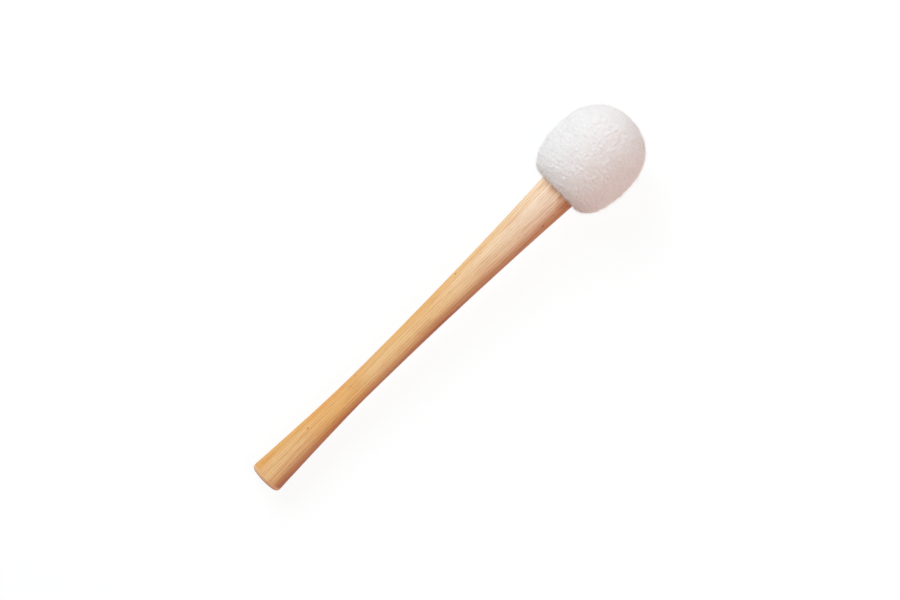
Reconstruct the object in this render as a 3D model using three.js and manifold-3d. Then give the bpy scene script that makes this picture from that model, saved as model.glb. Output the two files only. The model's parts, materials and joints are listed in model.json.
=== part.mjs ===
// A bass drum mallet with a turned hickory handle and a fleece head, lying on a table.
// Millimetres, +Z up. The mallet points along +X, from its butt to its head. The head is thicker than
// the butt, so the axis rises a little towards the head: the mallet rests on the side of its head and
// on the rounded edge of its butt.
// Every piece is first drawn on a level axis, with "along" counted from the flat end of the butt. The
// whole mallet is then tipped until it rests.

import * as THREE from 'three';
import { mergeVertices } from 'three/addons/utils/BufferGeometryUtils.js';
import Module from 'manifold-3d';

const wasm = await Module();
wasm.setup();

// Clearance between two pieces that touch on the real mallet.
const seatGap = 0.3;
// How far a cutting shape runs past what it cuts.
const overrun = 2;

// Handle, from the butt to the face of the head: two flares that meet at the waist.
const handleLength = 296.6;
const buttRadius = 12.95;
const buttEdgeRadius = 2.6;
const waistRadius = 9.3;
const waistFromButt = 93;
const neckRadius = 15;
const buttFlarePower = 1.4;
const neckFlarePower = 1.9;

// Tenon at the end of the handle, inside the core, and how much of the core's radius it takes.
const tenonShare = 4 / 9;
const tenonChamfer = 1;
const tenonShortfall = 0.8;
const shoulderChamfer = 0.6;

// Draw thread, wound into a groove round the neck.
const threadRadius = 0.6;
const threadTurns = 2;
const threadSpace = 0.5;
const grooveDepth = 0.9;

// Outline of the head: two half ovals that meet at the belly, on a flat face round the neck.
const headLength = 73.4;
const bellyRadius = 33.7;
const bellyFromFace = 34.2;
const domePowerAlong = 2.64;
const domePowerAcross = 1.93;
const baseOvalDepth = 2.24;
const basePowerAlong = 2.08;
const basePowerAcross = 4.2;
const faceRoll = 1.8;
const mouthTuck = 0.8;
const restCutDepth = 0.5;

// Layers of the head, from the outside in.
const fleeceThickness = 5;
const hemThickness = 3.4;
const hemLip = 2;
const waddingOnSide = 5.3;
const waddingOnTop = 13.5;
const bandThickness = 4.5;
const bandSeamWidth = 0.6;
const topFeltThickness = 6;
const topFeltEdgeRadius = 4;
const baseFeltThickness = 5;
const baseFeltUnderBand = 1.8;
const coreChamfer = 1.5;

// Washer and wood screw that hold the core on the tenon. The washer takes a share of the core's radius.
const washerShare = 11 / 18;
const washerThickness = 1.6;
const screwRadius = 2.4;
const screwRootRadius = 1.7;
const screwPitch = 2.3;
const screwShankLength = 9;
const screwThreadLength = 24;
const screwTipLength = 4;
const screwHeadRadius = 4.7;
const screwHeadHeight = 3.2;
const screwHeadRound = 1.4;
const recessLength = 5.2;
const recessWidth = 1.2;
const recessDepth = 1.8;
const pilotBottomSpace = 1.5;

// Facets round the pieces, and steps along their curves.
const wideSides = 48;
const innerSides = 32;
const screwSides = 12;
const flareSteps = 12;
const edgeSteps = 4;
const baseSteps = 8;
const domeSteps = 10;
const threadStepsPerTurn = 24;
const threadSides = 6;
const threadRowsPerPitch = 4;

// Places along the axis, stacked up from the face of the head and down from its tip.
const faceAlong = handleLength;
const tipAlong = faceAlong + headLength;
const bellyAlong = faceAlong + bellyFromFace;
const threadPitch = 2 * threadRadius + threadSpace;
const windingLength = threadTurns * threadPitch;
const grooveAlong = faceAlong + hemLip;
const grooveEnd = grooveAlong + windingLength + 2 * threadRadius + 2 * seatGap;
const hemEnd = grooveEnd + hemLip;
const baseFeltAlong = hemEnd + seatGap;
const shoulderAlong = baseFeltAlong + baseFeltThickness;
const coreAlong = shoulderAlong + seatGap;
const waddingTip = tipAlong - fleeceThickness - seatGap;
const topFeltEnd = waddingTip - waddingOnTop - seatGap;
const topFeltAlong = topFeltEnd - topFeltThickness;
const coreEnd = topFeltAlong - seatGap;
const washerSpace = washerThickness + 2 * seatGap;
const counterboreFloor = coreEnd - washerSpace - screwHeadHeight - seatGap;
const washerAlong = counterboreFloor + seatGap;
const screwHeadAlong = counterboreFloor + washerSpace;
const screwThreadEnd = screwHeadAlong - screwShankLength;
const screwThreadAlong = screwThreadEnd - screwThreadLength;
const screwPoint = screwThreadAlong - screwTipLength;
const tenonEnd = counterboreFloor - tenonShortfall;

// Radii that follow from the same values.
const mouthRadius = neckRadius + seatGap;
const hemRadius = mouthRadius + hemThickness;
const grooveRadius = neckRadius - grooveDepth;
const windingRadius = grooveRadius + seatGap + threadRadius;
const channelRadius = windingRadius + threadRadius + seatGap;
const bandRadius = bellyRadius - fleeceThickness - waddingOnSide - 2 * seatGap;
const coreRadius = bandRadius - bandThickness - seatGap;
const baseFeltRadius = Math.max(hemRadius, coreRadius + seatGap + baseFeltUnderBand);
const washerRadius = coreRadius * washerShare;
const tenonRadius = coreRadius * tenonShare;
const coreBoreRadius = tenonRadius + seatGap;
const pilotRadius = screwRadius + seatGap;

// A point of an outline: its distance from the axis, and its place along it.
function point(radius, along) {
  return new THREE.Vector2(radius, along);
}

// Turns an outline about the axis. The outline goes round its section with the material on its left.
// The first corner is half a facet off, so that a facet and not a corner faces down.
function turned(outline, sides) {
  const geometry = new THREE.LatheGeometry(outline, sides, Math.PI / sides);
  geometry.rotateZ(-Math.PI / 2);
  return geometry;
}

// A closed geometry as a solid that can be joined and cut.
function solidFrom(geometry) {
  const bare = new THREE.BufferGeometry();
  bare.setAttribute('position', geometry.getAttribute('position'));
  bare.setIndex(geometry.getIndex());
  const merged = mergeVertices(bare);
  const corners = merged.getIndex().array;
  const triVerts = [];
  for (let i = 0; i < corners.length; i += 3) {
    const [a, b, c] = corners.slice(i, i + 3);
    if (a !== b && b !== c && c !== a) {
      triVerts.push(a, b, c);
    }
  }
  return new wasm.Manifold(new wasm.Mesh({
    numProp: 3,
    vertProperties: merged.getAttribute('position').array,
    triVerts: new Uint32Array(triVerts),
  }));
}

// A solid as a geometry again.
function geometryFrom(solid) {
  const mesh = solid.getMesh();
  const geometry = new THREE.BufferGeometry();
  geometry.setAttribute('position', new THREE.BufferAttribute(mesh.vertProperties, 3));
  geometry.setIndex(new THREE.BufferAttribute(mesh.triVerts, 1));
  geometry.computeVertexNormals();
  return geometry;
}

// The first geometry less the other ones.
function cut(geometry, ...tools) {
  return geometryFrom(tools.reduce((left, tool) => left.subtract(solidFrom(tool)), solidFrom(geometry)));
}

// Radius of the handle at a place along it, which grows from the waist to either end.
function handleRadius(along) {
  if (along < waistFromButt) {
    const share = (waistFromButt - along) / waistFromButt;
    return waistRadius + (buttRadius - waistRadius) * share ** buttFlarePower;
  }
  const share = (along - waistFromButt) / (handleLength - waistFromButt);
  return waistRadius + (neckRadius - waistRadius) * share ** neckFlarePower;
}

// Outside of the handle, from the flat of the butt to the face of the head.
function handleOutline() {
  const points = [];
  const edgeCentre = handleRadius(buttEdgeRadius) - buttEdgeRadius;
  for (let i = 0; i <= edgeSteps; i += 1) {
    const angle = (Math.PI / 2) * (i / edgeSteps);
    points.push(point(
      edgeCentre + buttEdgeRadius * Math.sin(angle),
      buttEdgeRadius - buttEdgeRadius * Math.cos(angle),
    ));
  }
  for (let i = 1; i <= flareSteps; i += 1) {
    const along = buttEdgeRadius + (waistFromButt - buttEdgeRadius) * (i / flareSteps);
    points.push(point(handleRadius(along), along));
  }
  for (let i = 1; i <= flareSteps; i += 1) {
    const along = waistFromButt + (handleLength - waistFromButt) * (i / flareSteps);
    points.push(point(handleRadius(along), along));
  }
  return points;
}

// The handle in one piece: grip, neck with its thread groove, shoulder, and tenon with its pilot hole.
function handleGeometry() {
  const pilotBottom = screwPoint - pilotBottomSpace;
  const outline = [
    point(0, 0),
    ...handleOutline(),
    point(neckRadius, grooveAlong),
    point(grooveRadius, grooveAlong),
    point(grooveRadius, grooveEnd),
    point(neckRadius, grooveEnd),
    point(neckRadius, shoulderAlong - shoulderChamfer),
    point(neckRadius - shoulderChamfer, shoulderAlong),
    point(tenonRadius, shoulderAlong),
    point(tenonRadius, tenonEnd - tenonChamfer),
    point(tenonRadius - tenonChamfer, tenonEnd),
    point(pilotRadius, tenonEnd),
    point(pilotRadius, pilotBottom),
    point(0, pilotBottom - pilotRadius),
  ];
  return turned(outline, wideSides);
}

// Helix of the draw thread round the neck.
class Winding extends THREE.Curve {
  getPoint(t, target = new THREE.Vector3()) {
    const angle = 2 * Math.PI * threadTurns * t;
    const along = grooveAlong + seatGap + threadRadius + windingLength * t;
    return target.set(along, windingRadius * Math.sin(angle), windingRadius * Math.cos(angle));
  }
}

// Least gap between turns of the thread, measured between points on its centre line.
function windingGap(curve) {
  const points = curve.getPoints(threadTurns * threadStepsPerTurn);
  let least = Infinity;
  for (let i = 0; i < points.length; i += 1) {
    for (let j = i + threadStepsPerTurn / 2; j < points.length; j += 1) {
      least = Math.min(least, points[i].distanceTo(points[j]) - 2 * threadRadius);
    }
  }
  return least;
}

// The thread as one unbroken round tube.
function drawThreadGeometry() {
  const winding = new Winding();
  console.log(`draw thread: least gap between its turns ${windingGap(winding).toFixed(2)} mm`);
  const section = new THREE.Shape();
  for (let i = 0; i < threadSides; i += 1) {
    const angle = (2 * Math.PI * i) / threadSides;
    const x = threadRadius * Math.cos(angle);
    const y = threadRadius * Math.sin(angle);
    if (i === 0) {
      section.moveTo(x, y);
    } else {
      section.lineTo(x, y);
    }
  }
  section.closePath();
  return new THREE.ExtrudeGeometry(section, {
    steps: threadTurns * threadStepsPerTurn,
    extrudePath: winding,
  });
}

// A point on a quarter of a rounded oval. The angle goes from the belly, at zero, to the pole.
function ovalPoint(radius, length, powerAcross, powerAlong, angle) {
  return point(
    radius * Math.cos(angle) ** (2 / powerAcross),
    length * Math.sin(angle) ** (2 / powerAlong),
  );
}

// Outline of a layer that lies the given depth under the fleece, from its edge at the base, where it
// has the given radius, over the belly to the tip.
function headOutline(depth, edgeRadius) {
  const belly = bellyRadius - depth;
  const domeLength = headLength - bellyFromFace - depth;
  const baseLength = bellyFromFace + baseOvalDepth - depth;
  const edgeAngle = Math.acos((edgeRadius / belly) ** (basePowerAcross / 2));
  const points = [];
  for (let i = 0; i < baseSteps; i += 1) {
    const angle = edgeAngle * (1 - i / baseSteps);
    const place = ovalPoint(belly, baseLength, basePowerAcross, basePowerAlong, angle);
    points.push(point(place.x, bellyAlong - place.y));
  }
  for (let i = 0; i < domeSteps; i += 1) {
    const angle = (Math.PI / 2) * (i / domeSteps);
    const place = ovalPoint(belly, domeLength, domePowerAcross, domePowerAlong, angle);
    points.push(point(place.x, bellyAlong + place.y));
  }
  points.push(point(0, bellyAlong + domeLength));
  return points;
}

// Outside of the fleece: the face round the neck, tucked in at the mouth, then a roll, then the sides.
function fleeceOutline() {
  const baseLength = bellyFromFace + baseOvalDepth;
  const flatShare = (bellyFromFace / baseLength) ** basePowerAlong;
  const rimRadius = bellyRadius * (1 - flatShare) ** (1 / basePowerAcross);
  const sides = headOutline(0, rimRadius + faceRoll);
  const roll = new THREE.QuadraticBezierCurve(
    point(rimRadius - faceRoll, faceAlong),
    point(rimRadius, faceAlong),
    sides[0],
  );
  return [point(mouthRadius, faceAlong + mouthTuck), ...roll.getPoints(edgeSteps), ...sides.slice(1)];
}

// Fleece cover: a bag with its mouth turned in as a hem, which has a channel for the draw thread. The
// cloth is a little thicker round the face, where it is gathered. It is pressed flat where it rests.
function fleeceCoverGeometry(floor) {
  const outline = [
    ...headOutline(fleeceThickness, hemRadius).reverse(),
    point(hemRadius, hemEnd),
    point(mouthRadius, hemEnd),
    point(mouthRadius, grooveEnd),
    point(channelRadius, grooveEnd),
    point(channelRadius, grooveAlong),
    point(mouthRadius, grooveAlong),
    ...fleeceOutline(),
  ];
  return cut(turned(outline, wideSides), floor);
}

// Wool wadding, which fills the space between the felt and the fleece.
function woolPaddingGeometry() {
  const innerRadius = bandRadius + seatGap;
  const roundRadius = topFeltEdgeRadius + seatGap;
  const outline = [point(0, topFeltEnd + seatGap)];
  for (let i = 0; i <= edgeSteps; i += 1) {
    const angle = (Math.PI / 2) * (i / edgeSteps);
    outline.push(point(
      innerRadius - roundRadius + roundRadius * Math.sin(angle),
      topFeltEnd + seatGap - roundRadius + roundRadius * Math.cos(angle),
    ));
  }
  outline.push(
    point(innerRadius, shoulderAlong),
    point(baseFeltRadius + seatGap, shoulderAlong),
    point(baseFeltRadius + seatGap, hemEnd),
    point(hemRadius + seatGap, hemEnd),
    ...headOutline(fleeceThickness + seatGap, hemRadius + seatGap),
  );
  return turned(outline, innerSides);
}

// Hard felt strip, wrapped once round the core, with its two ends butted.
function sideFeltBandGeometry() {
  const outline = [
    point(coreRadius + seatGap, coreAlong),
    point(bandRadius, coreAlong),
    point(bandRadius, coreEnd),
    point(coreRadius + seatGap, coreEnd),
    point(coreRadius + seatGap, coreAlong),
  ];
  const seam = new THREE.BoxGeometry(
    coreEnd - coreAlong + 2 * overrun,
    bandSeamWidth,
    bandThickness + 2 * overrun,
  );
  seam.translate((coreAlong + coreEnd) / 2, 0, bandRadius - bandThickness / 2);
  return cut(turned(outline, innerSides), seam);
}

// Hard felt disc over the end of the core and the screw, with its far edge trimmed round.
function topFeltDiscGeometry() {
  const outline = [
    point(0, topFeltAlong),
    point(bandRadius, topFeltAlong),
  ];
  for (let i = 0; i <= edgeSteps; i += 1) {
    const angle = (Math.PI / 2) * (i / edgeSteps);
    outline.push(point(
      bandRadius - topFeltEdgeRadius + topFeltEdgeRadius * Math.cos(angle),
      topFeltEnd - topFeltEdgeRadius + topFeltEdgeRadius * Math.sin(angle),
    ));
  }
  outline.push(point(0, topFeltEnd));
  return turned(outline, innerSides);
}

// Felt ring round the neck, between the hem and the core. It covers the hem and reaches under the band.
function baseFeltRingGeometry() {
  const outline = [
    point(mouthRadius, baseFeltAlong),
    point(baseFeltRadius, baseFeltAlong),
    point(baseFeltRadius, shoulderAlong),
    point(mouthRadius, shoulderAlong),
    point(mouthRadius, baseFeltAlong),
  ];
  return turned(outline, innerSides);
}

// Maple core: bored for the tenon, and counterbored for the washer and the screw head.
function headCoreGeometry() {
  const outline = [
    point(coreBoreRadius, coreAlong),
    point(coreRadius - coreChamfer, coreAlong),
    point(coreRadius, coreAlong + coreChamfer),
    point(coreRadius, coreEnd - coreChamfer),
    point(coreRadius - coreChamfer, coreEnd),
    point(washerRadius + seatGap, coreEnd),
    point(washerRadius + seatGap, counterboreFloor),
    point(coreBoreRadius, counterboreFloor),
    point(coreBoreRadius, coreAlong),
  ];
  return turned(outline, innerSides);
}

// Steel washer on the floor of the counterbore.
function washerGeometry() {
  const outline = [
    point(screwRadius + seatGap, washerAlong),
    point(washerRadius, washerAlong),
    point(washerRadius, washerAlong + washerThickness),
    point(screwRadius + seatGap, washerAlong + washerThickness),
    point(screwRadius + seatGap, washerAlong),
  ];
  return turned(outline, innerSides);
}

// Raises a thread on the root of the screw: a ridge that climbs one pitch a turn, and fades out over
// one pitch at each end.
function raiseThread(geometry) {
  const places = geometry.getAttribute('position');
  for (let i = 0; i < places.count; i += 1) {
    const along = places.getX(i);
    const fromEnd = Math.min(along - screwThreadAlong, screwThreadEnd - along);
    if (fromEnd > 0) {
      const angle = Math.atan2(places.getZ(i), places.getY(i));
      const turn = along / screwPitch + angle / (2 * Math.PI);
      const phase = turn - Math.floor(turn);
      const ridge = 1 - Math.abs(2 * phase - 1);
      const fade = Math.min(1, fromEnd / screwPitch);
      const radius = screwRootRadius + (screwRadius - screwRootRadius) * ridge * fade;
      places.setY(i, radius * Math.cos(angle));
      places.setZ(i, radius * Math.sin(angle));
    }
  }
}

// Wood screw: point, threaded stretch, plain shank and a pan head with a cross recess.
function screwGeometry() {
  const rows = Math.round((screwThreadLength / screwPitch) * threadRowsPerPitch);
  const outline = [point(0, screwPoint)];
  for (let i = 0; i <= rows; i += 1) {
    outline.push(point(screwRootRadius, screwThreadAlong + screwThreadLength * (i / rows)));
  }
  const headTop = screwHeadAlong + screwHeadHeight;
  const headRound = new THREE.QuadraticBezierCurve(
    point(screwHeadRadius, headTop - screwHeadRound),
    point(screwHeadRadius, headTop),
    point(screwHeadRadius - screwHeadRound, headTop),
  );
  outline.push(
    point(screwRadius, screwThreadEnd + screwRadius - screwRootRadius),
    point(screwRadius, screwHeadAlong),
    point(screwHeadRadius, screwHeadAlong),
    ...headRound.getPoints(edgeSteps),
    point(0, headTop),
  );
  const blank = turned(outline, screwSides);
  raiseThread(blank);
  const slotDepth = recessDepth + overrun;
  const slots = [[recessWidth, recessLength], [recessLength, recessWidth]].map(([width, height]) => {
    const slot = new THREE.BoxGeometry(slotDepth, width, height);
    slot.translate(headTop - recessDepth + slotDepth / 2, 0, 0);
    return slot;
  });
  return cut(blank, ...slots);
}

// Lowest height of an outline turned about the axis, when the axis rises at the given tilt.
function lowest(outline, tilt) {
  const heights = outline.map((p) => p.y * Math.sin(tilt) - p.x * Math.cos(tilt));
  return Math.min(...heights);
}

// The handle's outline as far from the axis as the middle of a facet is.
function facetOutline(outline) {
  const inward = Math.cos(Math.PI / wideSides);
  return outline.map((p) => point(p.x * inward, p.y));
}

// Tilt at which the butt touches the floor that the head is pressed into, found by halving.
function restTilt() {
  const butt = facetOutline(handleOutline());
  const head = fleeceOutline();
  let low = 0;
  let high = Math.PI / 4;
  for (let i = 0; i < 50; i += 1) {
    const tilt = (low + high) / 2;
    if (lowest(butt, tilt) > lowest(head, tilt) + restCutDepth) {
      low = tilt;
    } else {
      high = tilt;
    }
  }
  return (low + high) / 2;
}

function wood(color, roughness) {
  return new THREE.MeshStandardMaterial({ color, roughness, metalness: 0 });
}

function cloth(color) {
  return new THREE.MeshStandardMaterial({ color, roughness: 0.95, metalness: 0 });
}

function steel(color) {
  return new THREE.MeshStandardMaterial({ color, roughness: 0.35, metalness: 1 });
}

// The mallet rests on the floor of its own frame, and its box is centred over the origin.
const tilt = restTilt();
const mallet = new THREE.Group();
mallet.rotation.y = -tilt;
mallet.position.z = -lowest(facetOutline(handleOutline()), tilt);
mallet.updateMatrixWorld(true);

// Everything under the floor, seen from the level axis, which presses the fleece flat.
const floorBlock = new THREE.BoxGeometry(2 * tipAlong, 2 * tipAlong, bellyRadius);
floorBlock.translate(tipAlong, 0, -bellyRadius / 2);
floorBlock.applyMatrix4(mallet.matrixWorld.clone().invert());

const pieces = [
  ['handle', handleGeometry(), wood(0xe3b98a, 0.45)],
  ['fleece_cover', fleeceCoverGeometry(floorBlock), cloth(0xefecea)],
  ['draw_thread', drawThreadGeometry(), cloth(0xe9e4d6)],
  ['wool_padding', woolPaddingGeometry(), cloth(0xefe9dc)],
  ['side_felt_band', sideFeltBandGeometry(), cloth(0xd8d2c4)],
  ['top_felt_disc', topFeltDiscGeometry(), cloth(0xd8d2c4)],
  ['base_felt_ring', baseFeltRingGeometry(), cloth(0xd8d2c4)],
  ['head_core', headCoreGeometry(), wood(0xe8cfa6, 0.6)],
  ['retaining_washer', washerGeometry(), steel(0xb8bcc0)],
  ['retaining_screw', screwGeometry(), steel(0xc4c6c8)],
];
for (const [name, geometry, material] of pieces) {
  const mesh = new THREE.Mesh(geometry, material);
  mesh.name = name;
  mallet.add(mesh);
}
const box = new THREE.Box3().setFromObject(mallet, true);
mallet.position.x = -(box.min.x + box.max.x) / 2;

const part = new THREE.Group();
part.add(mallet);

export default part;
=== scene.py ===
# %% [markdown]
# # A bass drum mallet with a fleece head
# The mallet lies on a white table and is seen from straight above. Its handle is one turned piece of
# hickory. Its head is a maple core under hard felt and wool wadding, in a drawn bag of white fleece.
# The pieces were sized and placed elsewhere, as plain solids. This script loads them as a frame that
# is never moved, and then makes the surfaces that the eye sees: smooth turned wood with grain, and
# fleece with a nap of curled wool.

import json
import math

import bmesh
import bpy
import numpy as np
from mathutils import Matrix, Vector, noise
from mathutils.bvhtree import BVHTree


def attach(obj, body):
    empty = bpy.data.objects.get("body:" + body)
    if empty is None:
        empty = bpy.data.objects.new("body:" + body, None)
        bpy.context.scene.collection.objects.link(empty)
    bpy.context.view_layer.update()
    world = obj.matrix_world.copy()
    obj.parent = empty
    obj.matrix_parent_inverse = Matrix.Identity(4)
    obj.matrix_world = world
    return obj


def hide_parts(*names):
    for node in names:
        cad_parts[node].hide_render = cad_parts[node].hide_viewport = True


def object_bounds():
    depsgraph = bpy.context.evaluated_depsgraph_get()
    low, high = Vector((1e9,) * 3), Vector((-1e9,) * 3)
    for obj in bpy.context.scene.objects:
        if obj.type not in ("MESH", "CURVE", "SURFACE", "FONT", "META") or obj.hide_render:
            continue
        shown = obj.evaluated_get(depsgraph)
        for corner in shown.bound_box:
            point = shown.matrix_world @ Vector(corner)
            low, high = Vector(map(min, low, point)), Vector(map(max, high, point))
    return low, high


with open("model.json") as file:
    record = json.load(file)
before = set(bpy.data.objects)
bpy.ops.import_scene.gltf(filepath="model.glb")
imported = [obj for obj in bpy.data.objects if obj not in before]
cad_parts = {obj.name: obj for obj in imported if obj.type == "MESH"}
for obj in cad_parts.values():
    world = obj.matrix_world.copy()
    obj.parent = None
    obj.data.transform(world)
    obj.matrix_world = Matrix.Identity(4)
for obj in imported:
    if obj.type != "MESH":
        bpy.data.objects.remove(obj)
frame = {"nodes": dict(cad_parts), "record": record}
cad_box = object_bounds()
MM = 0.001
print("CAD box, mm:", [[round(x / MM, 1) for x in corner] for corner in cad_box])

# %% [markdown]
# ## One axis for the whole mallet
# Everything here was turned on a lathe or sewn round something that was. So it is easiest to think in
# the mallet's own directions: along the axis from the butt, sideways, and upwards. The frame's record
# names the flat face of the butt, with its middle and the direction that it faces, and these give the
# axis. Two helpers go from world places to the mallet's own directions and back.

# %% The mallet's axis
mounts = {mount["name"]: mount for mount in frame["record"]["mounts"]}
butt = Vector(mounts["butt_face"]["pos_m"])
axis = -Vector(mounts["butt_face"]["axis"]).normalized()
side = Vector((0, 1, 0))
up = axis.cross(side)
tilt = math.asin(axis.z)
OWN_DIRECTIONS = np.array((axis, side, up))


def to_mallet(places):
    """World places as rows of (along, sideways, upwards)."""
    return (np.asarray(places, float) - np.array(butt)) @ OWN_DIRECTIONS.T


def to_world(places):
    """Rows of (along, sideways, upwards) as world places."""
    return np.asarray(places, float) @ OWN_DIRECTIONS + np.array(butt)


print(f"axis rises {math.degrees(tilt):.2f} degrees from the butt to the head")

# %% [markdown]
# ## Reading an outline off a turned piece
# The CAD pieces are turned shapes with flat facets. Cutting one with a plane through the axis gives
# back the outline it was turned from. The plane runs through the middle of a facet, where the facet is
# a little nearer to the axis than its corners are, so the radii are scaled back to the corners.

# %% Outlines of the CAD pieces
# Points that are less than this apart, in metres, count as one point.
WELD = 1e-6


def in_order(edges, places):
    """Walks a chain of edges from one end to the other and returns its places."""
    joined = {}
    for edge in edges:
        a, b = edge.verts
        joined.setdefault(a, []).append(b)
        joined.setdefault(b, []).append(a)
    ends = [v for v, others in joined.items() if len(others) == 1]
    here = min(ends or joined, key=lambda v: tuple(places[v]))
    chain, seen = [], set()
    while here is not None:
        chain.append(places[here])
        seen.add(here)
        here = next((v for v in joined[here] if v not in seen), None)
    return np.array(chain), not ends


def without_straight_points(chain, closed):
    """Drops the points that lie on the straight line between their neighbours."""
    kept = []
    last = len(chain) - 1
    for i, here in enumerate(chain):
        before, after = chain[i - 1], chain[(i + 1) % len(chain)]
        way = after - before
        off_line = abs(way[0] * (here - before)[1] - way[1] * (here - before)[0])
        if (not closed and i in (0, last)) or off_line > 2 * WELD * np.linalg.norm(way):
            kept.append(here)
    return np.array(kept)


def outline_of(name):
    """The outline of a CAD piece as rows of (along, radius), and whether it closes on itself."""
    shape = bmesh.new()
    shape.from_mesh(frame["nodes"][name].data)
    bmesh.ops.remove_doubles(shape, verts=shape.verts, dist=WELD)
    every = to_mallet([v.co for v in shape.verts])
    widest = np.hypot(every[:, 1], every[:, 2]).max()
    found = bmesh.ops.bisect_plane(
        shape,
        geom=[*shape.verts, *shape.edges, *shape.faces],
        dist=WELD,
        plane_co=butt,
        plane_no=up,
    )
    edges = [item for item in found["geom_cut"] if isinstance(item, bmesh.types.BMEdge)]
    places = {v: to_mallet([v.co])[0][:2] for edge in edges for v in edge.verts}
    near_side = [e for e in edges if min(places[v][1] for v in e.verts) > -WELD]
    chain, closed = in_order(near_side, places)
    shape.free()
    chain = without_straight_points(chain, closed)
    chain[:, 1] *= widest / chain[:, 1].max()
    return chain, closed


handle_points, _ = outline_of("handle")
cover_points, _ = outline_of("fleece_cover")
print(f"outlines: {len(handle_points)} points for the handle, {len(cover_points)} for the cover")

# %% [markdown]
# ## Smooth curves and turned meshes
# A few points are enough for a CAD outline, but not for a lacquered surface that shows every facet in
# its highlight. The outline is drawn again as a smooth curve through the same points. Where it bends
# by more than a set angle the bend is a real corner, such as a shoulder, and stays sharp.

# %% Smooth outlines
CORNER = math.radians(35)


def bends(points, closed):
    """How far an outline turns at each point. The ends of an open one count as corners."""
    ways = np.diff(points, axis=0, append=points[:1])
    into = np.roll(ways, 1, axis=0)
    cross = into[:, 0] * ways[:, 1] - into[:, 1] * ways[:, 0]
    found = np.abs(np.arctan2(cross, (into * ways).sum(1)))
    if not closed:
        found[[0, -1]] = math.pi
    return found


def smooth_outline(points, step, closed=False):
    """A smooth curve through an outline's points, with its corners kept.

    Each stretch is a cubic that starts at one point, ends at the next and has the wanted direction
    at both. It is drawn as points about a step apart.
    """
    sharp = bends(points, closed) > CORNER
    count = len(points)
    drawn = []
    for i in range(count if closed else count - 1):
        j = (i + 1) % count
        way = points[j] - points[i]
        length = np.linalg.norm(way)
        leave, arrive = way, way
        if not sharp[i]:
            leave = points[j] - points[i - 1]
            leave = leave * length / np.linalg.norm(leave)
        if not sharp[j]:
            arrive = points[(j + 1) % count] - points[i]
            arrive = arrive * length / np.linalg.norm(arrive)
        steps = max(1, round(length / step))
        for t in np.arange(steps) / steps:
            drawn.append(
                (2 * t**3 - 3 * t**2 + 1) * points[i]
                + (t**3 - 2 * t**2 + t) * leave
                + (3 * t**2 - 2 * t**3) * points[j]
                + (t**3 - t**2) * arrive
            )
    if not closed:
        drawn.append(points[-1])
    return np.array(drawn)


HANDLE_STEP = 2 * MM
handle_outline = smooth_outline(handle_points, HANDLE_STEP)
print(f"handle: {len(handle_points)} points become {len(handle_outline)}")

# %% [markdown]
# ## Meshes with maps
# A mesh made here from places and faces is finished in one way. Its normals are made to point outwards
# once it is whole, and it is shaded smooth but for its real edges. It also gets a map of its own, two
# numbers for each corner of a face, that says where the corner lies on a flat picture of the surface.

# %% Meshes and maps
BAKE_MAP = "OFBake"
SMOOTH_UNDER = math.radians(40)


def in_scene(name, data):
    """Puts a mesh, a lamp or a camera into the scene as an object."""
    made = bpy.data.objects.new(name, data)
    bpy.context.scene.collection.objects.link(made)
    return made


def finish_mesh(name, places, faces):
    """Makes an object of world places and faces, with outward normals and smooth shading."""
    mesh = bpy.data.meshes.new(name)
    mesh.from_pydata(places.tolist(), [], faces)
    shape = bmesh.new()
    shape.from_mesh(mesh)
    bmesh.ops.recalc_face_normals(shape, faces=shape.faces)
    shape.to_mesh(mesh)
    shape.free()
    mesh.shade_smooth()
    mesh.set_sharp_from_angle(angle=SMOOTH_UNDER)
    return in_scene(name, mesh)


def add_map(mesh, across, along):
    """Gives a mesh its map, from two numbers for each vertex.

    A face whose corners seem more than half a turn apart lies on the join of the map. Its low
    corners are moved on by a whole turn, so that the face goes past the edge and isn't torn.
    """
    corners = np.empty(len(mesh.loops), np.int32)
    mesh.loops.foreach_get("vertex_index", corners)
    starts = np.empty(len(mesh.polygons), np.int32)
    mesh.polygons.foreach_get("loop_start", starts)
    places = np.stack([across[corners], along[corners]], 1)
    least = np.minimum.reduceat(places[:, 0], starts)
    most = np.maximum.reduceat(places[:, 0], starts)
    counts = np.diff(starts, append=len(corners))
    over_join = np.repeat(most - least > 0.5, counts)
    places[over_join & (places[:, 0] < 0.5), 0] += 1
    layer = mesh.uv_layers.new(name=BAKE_MAP)
    layer.uv.foreach_set("vector", places.astype(np.float32).ravel())


print(f"edges sharper than {math.degrees(SMOOTH_UNDER):.0f} degrees stay sharp")

# %% [markdown]
# A turned mesh is a grid: one row for each point of the outline, one column for each direction round
# the axis. A row on the axis shrinks to a single vertex, so that the poles are closed. Its map goes
# once round from left to right, and along the outline from bottom to top.

# %% Turned meshes
def runs_of(outline):
    """How far each point of an outline is from its first point, along the outline."""
    return np.cumsum(np.linalg.norm(np.diff(outline, axis=0, prepend=outline[:1]), axis=1))


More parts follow.
